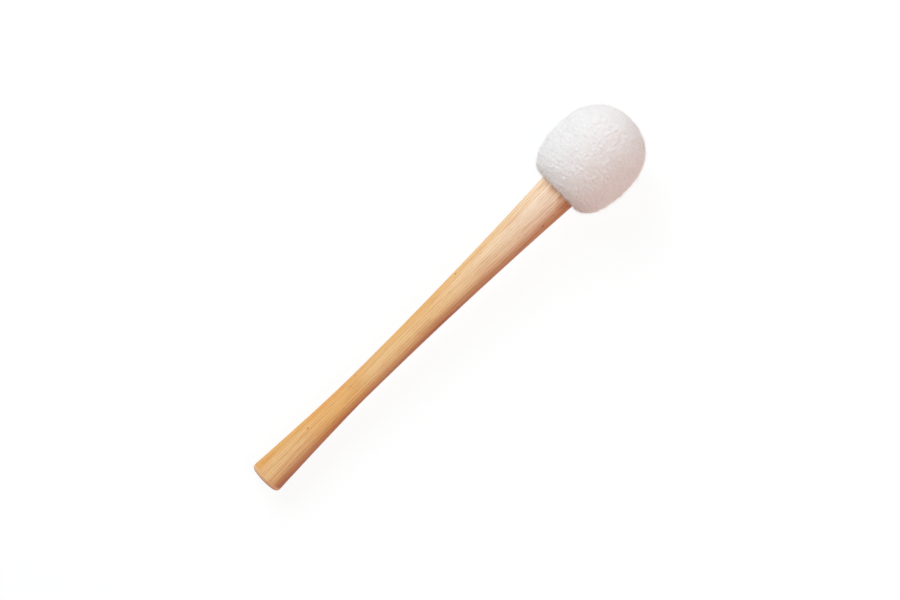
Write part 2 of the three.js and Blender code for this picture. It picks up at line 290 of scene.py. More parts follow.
def turned(name, outline, sides, closed=False, gap=0.0):
    """Turns an outline round the axis.

    A gap, in radians, leaves a slit at the top and closes its two sides.
    """
    columns = sides + 1 if gap else sides
    angles = gap / 2 + (2 * math.pi - gap) * np.arange(columns) / sides
    rows, places, across, along = [], [], [], []
    run = runs_of(outline)
    for (distance, radius), travelled in zip(outline, run / run[-1]):
        turns = angles if radius > WELD else angles[:1]
        rows.append(len(places) + np.arange(len(turns)) if len(turns) > 1 else [len(places)] * columns)
        places += [(distance, radius * math.sin(a), radius * math.cos(a)) for a in turns]
        across += [a / (2 * math.pi) for a in turns]
        along += [travelled] * len(turns)
    faces = []
    for i in range(len(rows) if closed else len(rows) - 1):
        low, high = rows[i], rows[(i + 1) % len(rows)]
        for j in range(sides):
            k = (j + 1) % columns
            corners = [low[j], low[k], high[k], high[j]]
            faces.append([int(c) for n, c in enumerate(corners) if c not in corners[:n]])
    if gap:
        faces.append([int(row[0]) for row in rows])
        faces.append([int(row[-1]) for row in rows])
    piece = finish_mesh(name, to_world(places), faces)
    add_map(piece.data, np.array(across), np.array(along))
    return piece


print(f"the handle's outline is {runs_of(handle_outline)[-1] / MM:.0f} mm long")

# %% [markdown]
# ## Helpers for materials
# Each material starts from what the real one is. One function adds a node, sets it up and links it, so
# that a material reads as a list of its layers. Most finishes here end in the same few layers, a mix
# of two tones and perhaps a relief, and another function adds those. Colours are written as on a
# screen and turned to the linear values that the renderer works with. Patterns are laid out in
# millimetres in the mallet's own directions, so that the grain runs along the axis although the mallet
# lies aslant. A noise with a scale of 1 / 9 then has lumps of about 9 mm. X goes along the axis, Y
# sideways and Z upwards.

# %% Node and colour helpers
# A Mix node has sockets of the same names for each kind of value, so those for colours go by number.
MIX_FACTOR, MIX_A, MIX_B, MIXED = 0, 6, 7, 2


def add_node(tree, kind, inputs=None, **settings):
    """Adds a node with its settings. Its inputs are plain values, or outputs of other nodes."""
    node = tree.nodes.new(kind)
    for name, value in settings.items():
        setattr(node, name, value)
    for key, value in (inputs or {}).items():
        if isinstance(value, bpy.types.NodeSocket):
            tree.links.new(value, node.inputs[key])
        else:
            node.inputs[key].default_value = value
    return node


def colour(text):
    """A colour written as #rrggbb, in linear light."""
    parts = [int(text[i : i + 2], 16) / 255 for i in (1, 3, 5)]
    return (*[p / 12.92 if p <= 0.04045 else ((p + 0.055) / 1.055) ** 2.4 for p in parts], 1)


def empty_tree(owner):
    """The node tree of a material or a world, with nothing in it yet."""
    owner.use_nodes = True
    owner.node_tree.nodes.clear()
    return owner.node_tree


def new_material(name):
    """An empty material with its output, and its coordinates in mm in the mallet's own directions."""
    material = bpy.data.materials.new(name)
    tree = empty_tree(material)
    place = add_node(tree, "ShaderNodeTexCoord").outputs["Object"]
    own = add_node(
        tree,
        "ShaderNodeMapping",
        {"Vector": place, "Location": butt, "Rotation": (0, -tilt, 0), "Scale": (MM, MM, MM)},
        vector_type="TEXTURE",
    )
    output = add_node(tree, "ShaderNodeOutputMaterial")
    return material, tree, own.outputs["Vector"], output.inputs["Surface"]


def two_toned(tree, surface, amount, tones, shader, relief=None):
    """Completes a material with two tones, mixed by an amount, and the values of its shader.

    A relief is a height, how strongly it shows, and how deep it is.
    """
    first, second = map(colour, tones)
    tint = add_node(
        tree, "ShaderNodeMix", {MIX_FACTOR: amount, MIX_A: first, MIX_B: second}, data_type="RGBA"
    )
    inputs = {"Base Color": tint.outputs[MIXED], **shader}
    if relief:
        height, strength, depth = relief
        bump = add_node(
            tree, "ShaderNodeBump", {"Height": height, "Strength": strength, "Distance": depth}
        )
        inputs["Normal"] = bump.outputs["Normal"]
    finish = add_node(tree, "ShaderNodeBsdfPrincipled", inputs)
    tree.links.new(finish.outputs[0], surface)


print(f"middle grey, #808080, is {colour('#808080')[0]:.3f} in linear light")

# %% [markdown]
# ## The grain of hickory
# The handle is hickory, turned, sanded and given a thin satin lacquer. Its rings show as long straight
# streaks, because the blank was split along the grain. The wood is ring-porous, so each ring starts
# with a band of open pores that look like fine dark dashes. Here the rings are true cylinders round a
# tree's middle beside the handle, and the pattern is solid, so the streaks on the sides meet the arcs
# on the end of the butt. Grain is never quite straight: it wanders by half a millimetre over a hand's
# width.

# %% Grain
# Lengths in mm, and shares of a ring.
RING_WIDTH = 1.9
TREE_MIDDLE = (0, -70, 24)
GRAIN_SLOPE = math.radians(0.3)
WANDER_LENGTH = 90
WANDER_WIDTH = 2.2
EARLY_UNTIL = 0.45
EARLY_FROM = 0.88


def along_the_grain(tree, own):
    """Places counted from the tree's middle, with the first direction along the grain."""
    slow = add_node(
        tree, "ShaderNodeTexNoise", {"Vector": own, "Scale": 1 / WANDER_LENGTH, "Detail": 1}
    ).outputs["Color"]
    wandering = add_node(
        tree,
        "ShaderNodeVectorMath",
        {0: slow, 1: (0, WANDER_WIDTH, WANDER_WIDTH), 2: own},
        operation="MULTIPLY_ADD",
    ).outputs[0]
    return add_node(
        tree,
        "ShaderNodeMapping",
        {"Vector": wandering, "Location": TREE_MIDDLE, "Rotation": (0, GRAIN_SLOPE, GRAIN_SLOPE)},
        vector_type="TEXTURE",
    ).outputs["Vector"]


def early_wood(tree, grain):
    """How much a point belongs to the open pores with which a ring starts, from 0 to 1."""
    flat = add_node(
        tree, "ShaderNodeVectorMath", {0: grain, 1: (0, 1, 1)}, operation="MULTIPLY"
    ).outputs[0]
    out = add_node(tree, "ShaderNodeVectorMath", {0: flat}, operation="LENGTH").outputs["Value"]
    ring = add_node(tree, "ShaderNodeMath", {0: out, 1: RING_WIDTH}, operation="DIVIDE").outputs[0]
    part_of_ring = add_node(tree, "ShaderNodeMath", {0: ring}, operation="FRACT").outputs[0]
    fall = add_node(
        tree,
        "ShaderNodeMapRange",
        {"Value": part_of_ring, "From Max": EARLY_UNTIL, "To Min": 1.0, "To Max": 0.0},
        interpolation_type="SMOOTHSTEP",
    ).outputs["Result"]
    rise = add_node(
        tree,
        "ShaderNodeMapRange",
        {"Value": part_of_ring, "From Min": EARLY_FROM},
        interpolation_type="SMOOTHSTEP",
    ).outputs["Result"]
    return add_node(tree, "ShaderNodeMath", {0: fall, 1: rise}, operation="MAXIMUM").outputs[0]


def streaks(tree, grain, long, wide, detail, offset):
    """A noise drawn out along the grain, from 0 to 1.

    Its length and width are in mm, and each offset gives another part of the same noise.
    """
    drawn = add_node(
        tree,
        "ShaderNodeVectorMath",
        {0: grain, 1: (1 / long, 1 / wide, 1 / wide), 2: (offset, offset, offset)},
        operation="MULTIPLY_ADD",
    ).outputs[0]
    return add_node(
        tree, "ShaderNodeTexNoise", {"Vector": drawn, "Scale": 1, "Detail": detail}
    ).outputs["Fac"]


print(f"rings {RING_WIDTH} mm wide, {math.hypot(*TREE_MIDDLE):.0f} mm from the tree's middle")

# %% [markdown]
# ## Sapwood and heartwood, with painted shade and a painted highlight
# Hickory is pale and creamy in its sapwood and red-brown in its heartwood, and the blank held both. The
# side away from the light, towards -Y, leans to heartwood, behind an uneven border that gives way at
# both flared ends, and there the dark heartwood is also painted shade. The sapwood turns palest from
# 8 mm to the side to the middle, a painted highlight along the top of the handle. All of the wood is
# paler and cooler towards the head, and more golden towards the butt.

# %% Colours of the wood
# Places along the handle, in mm from the butt. The bare wood ends where the cover begins.
WOOD_ENDS = round(cover_points[:, 0].min() / MM, 1)
SLENDER_MIDDLE = 120

# How far the bands carry the border to the side, in mm.
BORDER_WANDER = 7
WOOD_COLOURS = (
    # kind of wood, its colour at the butt, its colour at the head
    ("sapwood", "#f1c283", "#fde8cf"),
    # The palest sapwood is a painted highlight along the top of the handle.
    ("palest_highlight", "#f8d399", "#fbe6cc"),
    # The heartwood is also painted shade on the side away from the light.
    ("heartwood_and_shade", "#b05f2e", "#cb8a52"),
)


def from_place(tree, along, place):
    """How far a point is from a place along the handle, in mm."""
    gone = add_node(tree, "ShaderNodeMath", {0: along, 1: place}, operation="SUBTRACT").outputs[0]
    return add_node(tree, "ShaderNodeMath", {0: gone}, operation="ABSOLUTE").outputs[0]


def raw_wood(tree, along, across, bands, towards_head):
    """The colour of the wood before anything has stained it, with painted shade and highlight."""
    woods = {
        kind: add_node(
            tree,
            "ShaderNodeMix",
            {MIX_FACTOR: towards_head, MIX_A: colour(at_butt), MIX_B: colour(at_head)},
            data_type="RGBA",
        ).outputs[MIXED]
        for kind, at_butt, at_head in WOOD_COLOURS
    }
    # The sapwood turns to its palest between 8 mm to the side and the middle: a painted highlight.
    painted_highlight = add_node(
        tree,
        "ShaderNodeMapRange",
        {"Value": across, "From Min": 8, "From Max": 0},
        interpolation_type="SMOOTHSTEP",
    ).outputs["Result"]
    sapwood = add_node(
        tree,
        "ShaderNodeMix",
        {MIX_FACTOR: painted_highlight, MIX_A: woods["sapwood"], MIX_B: woods["palest_highlight"]},
        data_type="RGBA",
    ).outputs[MIXED]
    # The border follows the bands, and lies up to 1.8 mm further off where the ends flare.
    border = add_node(
        tree, "ShaderNodeMath", {0: bands, 1: BORDER_WANDER, 2: across}, operation="MULTIPLY_ADD"
    ).outputs[0]
    far = from_place(tree, along, SLENDER_MIDDLE)
    way_given = add_node(
        tree, "ShaderNodeMapRange", {"Value": far, "From Min": 50, "From Max": 130, "To Max": 1.8}
    ).outputs["Result"]
    border = add_node(tree, "ShaderNodeMath", {0: border, 1: way_given}, operation="ADD").outputs[0]
    # Sapwood goes over into heartwood, also painted shade here, across a strip about 10 mm wide.
    heart = add_node(
        tree,
        "ShaderNodeMapRange",
        {"Value": border, "From Min": 1.5, "From Max": -8},
        interpolation_type="SMOOTHSTEP",
    ).outputs["Result"]
    return add_node(
        tree,
        "ShaderNodeMix",
        {MIX_FACTOR: heart, MIX_A: sapwood, MIX_B: woods["heartwood_and_shade"]},
        data_type="RGBA",
    ).outputs[MIXED]


for kind, at_butt, at_head in WOOD_COLOURS:
    print(f"{kind}: {at_butt} at the butt, {at_head} at {WOOD_ENDS} mm")

# %% [markdown]
# ## Stains, flecks and wear
# What makes wood look like wood lies over its first colour. A stain multiplies that colour by a shade,
# more and more as some value goes from one number to another: a noise, a place, or a part of a ring. A
# few dark flecks lie each in one cell of a stretched mesh of cells, and most cells stay empty.

# %% Stains and flecks
# The cells that hold the flecks are 17 mm long and 8 mm wide, and this share of them is empty.
FLECK_CELL = (1 / 17, 1 / 8, 1 / 8)
EMPTY_CELLS = 0.8


def stained(tree, under, shade, value, low, high, most):
    """The colour under it, darkened by a shade as a value goes from low to high."""
    amount = add_node(
        tree,
        "ShaderNodeMapRange",
        {"Value": value, "From Min": low, "From Max": high, "To Max": most},
        interpolation_type="SMOOTHSTEP",
    ).outputs["Result"]
    return add_node(
        tree,
        "ShaderNodeMix",
        {MIX_FACTOR: amount, MIX_A: under, MIX_B: colour(shade)},
        data_type="RGBA",
        blend_type="MULTIPLY",
    ).outputs[MIXED]


def cells_with_flecks(tree, grain):
    """How far a point is from the middle of its cell, and whether that cell holds a fleck."""
    stretched = add_node(
        tree, "ShaderNodeVectorMath", {0: grain, 1: FLECK_CELL}, operation="MULTIPLY"
    ).outputs[0]
    cells = add_node(tree, "ShaderNodeTexVoronoi", {"Vector": stretched, "Scale": 1}).outputs
    lucky = add_node(tree, "ShaderNodeSeparateColor", {"Color": cells["Color"]}).outputs[0]
    chosen = add_node(
        tree, "ShaderNodeMath", {0: lucky, 1: EMPTY_CELLS}, operation="GREATER_THAN"
    ).outputs[0]
    return cells["Distance"], chosen


print(f"a fleck in about one cell of {1 / (1 - EMPTY_CELLS):.0f}")

# %% [markdown]
# Hands have yellowed the lacquer where they hold it. Just below the fleece the wood is darker and
# browner in patches. Along the +Y side the wood is more yellow, most of all towards the butt. The
# rounded edge of the butt is lighter, a painted highlight on the rounding, and its end grain, which
# drinks the lacquer, looks a little darker. Most of these go into one list of stains.

# %% The stained wood
# Places along the handle, in mm from the butt.
PALER_FROM = 175
GRIP_MIDDLE = 75
BUTT_EDGE = 2


def stained_wood(tree, along, across, grain, early, fibres, bands):
    """The wood with all its stains, flecks and marks of use."""
    pores = streaks(tree, grain, 4, 0.26, 1, 23)
    blotches = streaks(tree, grain, 26, 8, 2, 37)
    grip = from_place(tree, along, GRIP_MIDDLE)
    fleck, flecked = cells_with_flecks(tree, grain)
    towards_head = add_node(
        tree,
        "ShaderNodeMapRange",
        {"Value": along, "From Min": PALER_FROM, "From Max": WOOD_ENDS - 10},
    ).outputs["Result"]
    near_head = add_node(
        tree,
        "ShaderNodeMapRange",
        {"Value": along, "From Min": WOOD_ENDS - 20, "From Max": WOOD_ENDS, "To Max": 0.7},
    ).outputs["Result"]
    thick = add_node(
        tree, "ShaderNodeMapRange", {"Value": towards_head, "To Min": 0.9, "To Max": 0.2}
    ).outputs["Result"]
    base = raw_wood(tree, along, across, bands, towards_head)
    for shade, value, low, high, most in (
        # shade, the value it follows, where the stain starts, where it is full, how strong it gets
        ("#fdeabb", grip, 45, 10, 0.65),
        ("#dcb088", early, 0.0, 1.0, 0.19),
        ("#e0a468", bands, 0.46, 0.66, 0.30),
        ("#d6a678", fibres, 0.44, 0.70, 0.22),
        ("#dcb492", blotches, 0.50, 0.75, 0.22),
        ("#dbb68e", pores, 0.56, 0.74, early),
        ("#98764a", fleck, 0.085, 0.04, flecked),
        # Darker, browner patches in the last 20 mm below the fleece.
        ("#d3a87c", blotches, 0.42, 0.70, near_head),
        # More yellow along the +Y side, most of all towards the butt.
        ("#fff2bc", across, 5, 11, thick),
    ):
        base = stained(tree, base, shade, value, low, high, most)
    # The painted highlight peaks within 0.6 mm of the rounding's middle, and is gone at the end face.
    edge = from_place(tree, along, BUTT_EDGE)
    edge_highlight = add_node(
        tree,
        "ShaderNodeMapRange",
        {"Value": edge, "From Min": BUTT_EDGE, "From Max": 0.6, "To Max": 0.7},
    ).outputs["Result"]
    # Painted highlight: the rounded edge of the butt goes towards a light peach.
    base = add_node(
        tree,
        "ShaderNodeMix",
        {MIX_FACTOR: edge_highlight, MIX_A: base, MIX_B: colour("#fccba0")},
        data_type="RGBA",
    ).outputs[MIXED]
    return stained(tree, base, "#d6a87c", along, 0.9, 0.1, 0.6)


print(f"hands hold it round {GRIP_MIDDLE} mm, and it gets paler from {PALER_FROM} mm on")

# %% [markdown]
# ## The finished hickory
# A satin lacquer has a broad, dull highlight. The darker streaks of the wood drink more of it, and shine
# a little less. The fibres stand up slightly and the pores sink in, which gives the highlight a fine
# grain too.

# %% Hickory, turned and lacquered
GRAIN_RELIEF = 0.06 * MM


def hickory():
    """Hickory with straight grain under a satin lacquer: soft streaks and a broad, dull highlight."""
    material, tree, own, surface = new_material("turned_hickory")
    place = add_node(tree, "ShaderNodeSeparateXYZ", {"Vector": own}).outputs
    grain = along_the_grain(tree, own)
    early = early_wood(tree, grain)
    # Single fibres are too fine to show, so they are drawn as bundles of 0.6 mm.
    fibres = streaks(tree, grain, 40, 0.6, 2, 3)
    bands = streaks(tree, grain, 140, 2.4, 2, 11)
    base = stained_wood(tree, place["X"], place["Y"], grain, early, fibres, bands)
    height = add_node(
        tree, "ShaderNodeMath", {0: fibres, 1: early}, operation="SUBTRACT"
    ).outputs[0]
    bump = add_node(
        tree, "ShaderNodeBump", {"Height": height, "Strength": 0.5, "Distance": GRAIN_RELIEF}
    )
    gloss = add_node(
        tree, "ShaderNodeMapRange", {"Value": bands, "To Min": 0.4, "To Max": 0.54}
    ).outputs["Result"]
    lacquered = add_node(
        tree,
        "ShaderNodeBsdfPrincipled",
        {
            "Base Color": base,
            "Roughness": gloss,
            "IOR": 1.5,
            "Specular IOR Level": 0.4,
            "Normal": bump.outputs["Normal"],
        },
    )
    tree.links.new(lacquered.outputs[0], surface)
    return material


wood = hickory()
print(f"{wood.name}: {len(wood.node_tree.nodes)} nodes")

# %% [markdown]
# ## The handle
# The handle is one piece from the butt to the tenon inside the head. Its smooth outline is turned
# round the axis with many sides. Turning and sanding never leave a perfect surface of revolution, so
# a wave of a few hundredths of a millimetre is taken off it. It doesn't show as a shape, but it
# breaks the highlight the way a sanded stick does.

# %% Make the handle
HANDLE_SIDES = 144
SANDING_SIZE = 14 * MM
SANDING_DEPTH = 0.05 * MM


def roughen(piece, size, depth):
    """Makes a surface uneven by a noise of the given size. Every point only goes inwards."""
    mesh = piece.data
    for vertex, normal in zip(mesh.vertices, [v.normal.copy() for v in mesh.vertices]):
        vertex.co += normal * (depth * noise.noise(vertex.co / size) - depth)
    mesh.update()


def dress(piece, material, slot_name, *nodes, fill=None):
    """Gives a piece its material and its body, and hides the CAD nodes that it stands for.

    Its slot name is not used.
    """
    piece.data.materials.clear()
    piece.data.materials.append(material)
    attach(piece, "root")
    if nodes:
        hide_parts(*nodes)
    triangles = sum(len(face.vertices) - 2 for face in piece.data.polygons)
    print(f"{piece.name}: {triangles} triangles")


handle = turned("handle_turned", handle_outline, HANDLE_SIDES)
roughen(handle, SANDING_SIZE, SANDING_DEPTH)
dress(handle, wood, "hickory", "handle")

# %% [markdown]
# ## The cloth of the fleece cover
# The cover is a bag of knitted fleece. Its mouth is turned in as a hem and drawn tight round the neck.
# The CAD solid has the outer form of the head, wool and all. At the tip, where the wool stands up, the
# cloth lies deeper and the wool fills the rest. At the mouth the drawn folds lift the cloth to just
# outside the solid. The inside of the bag and its hem with the channel for the draw thread are kept as
# they are, so that the piece is one closed sheet with a real thickness.

# %% Outline of the cloth
INSET_AT_MOUTH = -0.4 * MM
INSET_AT_TIP = 1.3 * MM
CLOTH_STEP = 0.6 * MM
INSIDE_STEP = 2.5 * MM
COVER_SIDES = 352
MOUTH_RUN = 3 * MM


def inset(outline):
    """The outside of the bag moved inwards, more and more towards the tip, and not at its edge."""
    ways = np.gradient(outline, axis=0)
    inwards = np.stack([ways[:, 1], -ways[:, 0]], 1) / np.linalg.norm(ways, axis=1)[:, None]
    run = runs_of(outline)
    depth = INSET_AT_MOUTH + (INSET_AT_TIP - INSET_AT_MOUTH) * run / run[-1]
    moved = outline + inwards * (depth * np.clip(run / MOUTH_RUN, 0, 1))[:, None]
    moved[-1, 1] = 0
    return moved


mouth = int(np.argmin(cover_points[:, 0])) - 1
inside = smooth_outline(cover_points[: mouth + 1], INSIDE_STEP)
outside = inset(smooth_outline(cover_points[mouth:], CLOTH_STEP))
mouth_radius = cover_points[mouth][1]
face_along = cover_points[mouth + 1][0]
print(f"cover: {len(inside)} rows inside, {len(outside)} rows outside")

# %% [markdown]
# ## Filling the bag
# A stuffed bag isn't quite the shape it was cut to. Where it is held, at the drawn mouth, it dips, and
# between there and the tip the wadding pushes it out unevenly. A cloth simulation finds this: a coarse
# copy of the bag is blown up with air while its mouth is held. The fine cloth then takes the shape of
# that copy, but no point moves further than a set distance, so that the head keeps its size.

# %% Blow up a coarse copy of the bag
TRIAL_SIDES = 96
SWELL_LIMIT = 0.7 * MM
SWELL_VOXEL = 3 * MM
SWELL_FRAMES = 20
AIR_PRESSURE = 4
HELD_AROUND = 3.5 * MM


def evaluated_mesh(piece):
    """The mesh of an object with its modifiers applied, as a new mesh."""
    seen = piece.evaluated_get(bpy.context.evaluated_depsgraph_get())
    return bpy.data.meshes.new_from_object(seen)


def places_of(mesh):
    """The vertices of a mesh as rows of x, y and z."""
    found = np.empty(len(mesh.vertices) * 3, np.float32)
    mesh.vertices.foreach_get("co", found)
    return found.reshape(-1, 3).astype(float)


def put_places(mesh, places):
    """Writes rows of x, y and z to the vertices of a mesh."""
    mesh.vertices.foreach_set("co", np.asarray(places, np.float32).ravel())
    mesh.update()


def blown_up_bag():
    """The faces of the coarse bag after the simulation, ready to be searched."""
    closing = np.array([(outside[0][0], 0)])
    trial = turned("trial_bag", np.concatenate([closing, outside]), TRIAL_SIDES)
    remesh = trial.modifiers.new("even_faces", "REMESH")
    remesh.mode = "VOXEL"
    remesh.voxel_size = SWELL_VOXEL
    even = evaluated_mesh(trial)
    trial.modifiers.remove(remesh)
    trial.data = even
    start = places_of(even)
    own = to_mallet(start)
    held = np.hypot(own[:, 1], own[:, 2]) < mouth_radius + HELD_AROUND
    held &= own[:, 0] < face_along + HELD_AROUND
    group = trial.vertex_groups.new(name="drawn_mouth")
    group.add(np.flatnonzero(held).tolist(), 1.0, "REPLACE")
    cloth = trial.modifiers.new("filling", "CLOTH")
    cloth.settings.vertex_group_mass = group.name
    cloth.settings.use_pressure = True
    cloth.settings.uniform_pressure_force = AIR_PRESSURE
    cloth.settings.effector_weights.gravity = 0
    for number in range(1, SWELL_FRAMES + 1):
        bpy.context.scene.frame_set(number)
    swollen = evaluated_mesh(trial)
    moves = places_of(swollen) - start
    far = np.linalg.norm(moves, axis=1)
    moves *= np.minimum(1, SWELL_LIMIT / np.maximum(far, WELD))[:, None]
    put_places(swollen, start + moves)
    print(f"bag: {len(start)} points moved {np.median(far) / MM:.2f} mm, {far.max() / MM:.2f} at most")
    faces = [tuple(face.vertices) for face in swollen.polygons]
    tree = BVHTree.FromPolygons([tuple(p) for p in start + moves], faces)
    bpy.context.scene.frame_set(1)
    bpy.data.objects.remove(trial)
    return tree


bag = blown_up_bag()

# %% [markdown]
# ## Tufts, gathers and the resting place
# Three finer forms go on the cloth. Wool pulls together in tufts of about two millimetres. The drawn
# mouth gathers the cloth in shallow folds that fade within a centimetre. And the place that the head
# rests on is pressed flat, but softly: points near the table are squeezed together, never cut off.

# %% Forms of the cloth
TUFT_SIZE = 1.8 * MM
TUFT_DEPTH = 0.56 * MM
SMALL_TUFTS = 0.6
LUMP_SIZE = 7 * MM
LUMP_DEPTH = 0.3 * MM
GATHERS = 30
GATHER_DEPTH = 0.32 * MM
GATHER_REACH = 9 * MM
UNEVEN_PLACES, UNEVEN_BY = 3, 2.5
PRESS_HEIGHT = 1.1 * MM


def pressed_on_table(places):
    """Squeezes what is lower than the press height into the space over the table."""
    low = np.minimum(places[:, 2], PRESS_HEIGHT)
    places[:, 2] += PRESS_HEIGHT * np.exp(low / PRESS_HEIGHT - 1) - low
    return places


def tuft(place):
    """Height of the tufts at a place: round lumps, with lumps of half their size on them."""
    return noise.noise(place / TUFT_SIZE) + SMALL_TUFTS * noise.noise(place / (0.5 * TUFT_SIZE))


def gather(own, travelled):
    """Height of the folds at the drawn mouth. Noise along a circle spaces them unevenly."""
    angle = math.atan2(own[1], own[2])
    on_circle = Vector((UNEVEN_PLACES * math.cos(angle), UNEVEN_PLACES * math.sin(angle), 0))
    fade = max(0.0, 1 - travelled / GATHER_REACH) ** 2
    return fade * math.cos(GATHERS * angle + UNEVEN_BY * noise.noise(on_circle))


print(f"tufts of {TUFT_SIZE / MM:.1f} mm, {GATHERS} folds round the mouth")

# %% [markdown]
# Each point of the outside is moved along its normal by the sum of these forms. They fade out towards
# the very edge of the mouth, where the outside goes over into the hem. The cloth also gets a value
# named "nap" for each point, which is 1 where wool grows and 0 on the inside of the bag.

# %% The cloth of the cover
GATHER_RUN = 0.3 * MOUTH_RUN
NAP_RUN = 0.4 * MOUTH_RUN


def swelling(here, outward):
    """How far filling the bag has moved its surface outwards at a place."""
    if bag is None:
        return 0.0
    lift = (bag.find_nearest(here)[0] - here).dot(outward)
    return max(-SWELL_LIMIT, min(SWELL_LIMIT, lift))


outline = np.concatenate([inside, outside[1:]])
cover = turned("fleece_cloth", outline, COVER_SIDES)
first_outside = 1 + (len(inside) - 1) * COVER_SIDES
row_runs = np.repeat(runs_of(outside), COVER_SIDES)[: len(cover.data.vertices) - first_outside]
places = places_of(cover.data)
mallet_places = to_mallet(places)
outward = [v.normal.copy() for v in cover.data.vertices]
for i in range(first_outside, len(places)):
    here = Vector(places[i])
    travelled = row_runs[i - first_outside]
    lift = swelling(here, outward[i])
    lift += TUFT_DEPTH * tuft(here) + LUMP_DEPTH * noise.noise(here / LUMP_SIZE)
    lift *= min(1.0, travelled / MOUTH_RUN)
    lift += GATHER_DEPTH * gather(mallet_places[i], travelled) * min(1.0, travelled / GATHER_RUN)
    places[i] += np.array(outward[i]) * lift
put_places(cover.data, pressed_on_table(places))
nap = cover.data.attributes.new("nap", "FLOAT", "POINT")
nap_values = np.zeros(len(places), np.float32)
nap_values[first_outside:] = np.clip(row_runs / NAP_RUN, 0, 1)
nap.data.foreach_set("value", nap_values)
print(f"cloth: {len(places)} points, wool on {np.count_nonzero(nap_values)} of them")

# %% [markdown]
# ## White fleece
# Fleece is a knitted cloth with a nap of crimped wool. Wool is a translucent fibre, and light that
# enters a nap is passed on from fibre to fibre. That gives a very matt surface that is almost evenly
# bright, a pale rim where it turns away, and only soft grey between the tufts. The cloth under the wool
# is a little darker than the wool, a painted shade for the gaps between the locks, and it carries the
# marks of the knitting, a stitch of 1.4 mm.

# %% Materials of the fleece
KNIT_PITCH = 1.4
LIGHTER_TO_TIP = 0.7


def fleece_cloth():
    """The knitted ground of the fleece: matt, a little cloudy, and off-white as painted shade under the
    wool.
    """
    material, tree, own, surface = new_material("knitted_fleece_ground")
    matted = add_node(
        tree, "ShaderNodeTexNoise", {"Vector": own, "Scale": 1 / 2.4, "Detail": 3}
    ).outputs["Fac"]
    knitted = add_node(
        tree, "ShaderNodeTexVoronoi", {"Vector": own, "Scale": 1 / KNIT_PITCH}
    ).outputs["Distance"]
    matt = {"Roughness": 0.95, "IOR": 1.45, "Specular IOR Level": 0.2}
    sheen = {"Sheen Weight": 0.25, "Sheen Roughness": 0.5}
    relief = (knitted, 0.6, 0.25 * MM)
    # Its tones are a little darker than the wool's: painted shade in the gaps between the locks.
    two_toned(tree, surface, matted, ("#f1eeec", "#faf9f8"), {**matt, **sheen}, relief)
    return material


def wool_nap():
    """Locks of crimped white wool, each a little lighter or darker, with painted shade at the root."""
    material, tree, _, surface = new_material("white_wool_nap")
    tone = add_node(tree, "ShaderNodeAttribute", attribute_name="tone").outputs["Fac"]
    reach = add_node(tree, "ShaderNodeAttribute", attribute_name="reach").outputs["Fac"]
    # Darker at the root and lighter towards the tip: the roots carry painted shade.
    lit = add_node(
        tree, "ShaderNodeMath", {0: reach, 1: LIGHTER_TO_TIP, 2: tone}, operation="MULTIPLY_ADD"
    ).outputs[0]
    matt = {"Roughness": 0.9, "IOR": 1.55, "Specular IOR Level": 0.25}
    sheen = {"Sheen Weight": 0.3, "Sheen Roughness": 0.4}
    two_toned(tree, surface, lit, ("#f8f6f5", "#fdfdfc"), {**matt, **sheen})
    return material


dress(cover, fleece_cloth(), "fleece", "fleece_cover", fill=0.9)

# %% [markdown]
# ## One lock of wool, by Geometry Nodes
# The nap is tens of thousands of little locks of wool, far too many to place by hand, so a node tree
# makes them. A real fibre is a fiftieth of a millimetre thick, which no picture of the whole mallet
# can show, so one lock here stands for a few fibres that cling together. Crimped wool swings a little
# from side to side along its length, as a sine does.

# %% Crimp
CRIMP_SWEEP = 4.5
CRIMP_WIDTH = 0.12


def crimp(tree, along, length):
    """How far a lock swings sideways, as a share of its length that changes along it."""
    swing = add_node(tree, "ShaderNodeMath", {0: along, 1: CRIMP_SWEEP}, operation="MULTIPLY").outputs[0]
    swing = add_node(tree, "ShaderNodeMath", {0: swing}, operation="SINE").outputs[0]
    swing = add_node(tree, "ShaderNodeMath", {0: swing, 1: length}, operation="MULTIPLY").outputs[0]
    swing = add_node(tree, "ShaderNodeMath", {0: swing, 1: CRIMP_WIDTH}, operation="MULTIPLY").outputs[0]
    return add_node(tree, "ShaderNodeCombineXYZ", {"Z": swing}).outputs[0]


print(f"crimp: {CRIMP_SWEEP / math.pi:.1f} swings of {CRIMP_WIDTH:.0%} of the length")

# %% [markdown]
# A lock is a hooked arc with this crimp. It gets a three-sided section that thins towards the tip. Arcs
# of a few different curls keep the locks from looking alike.

# %% One lock
LOCK_SIDES = 3
LOCK_POINTS = 5
CURLS = (100, 150, 205)
THINNING = 0.7


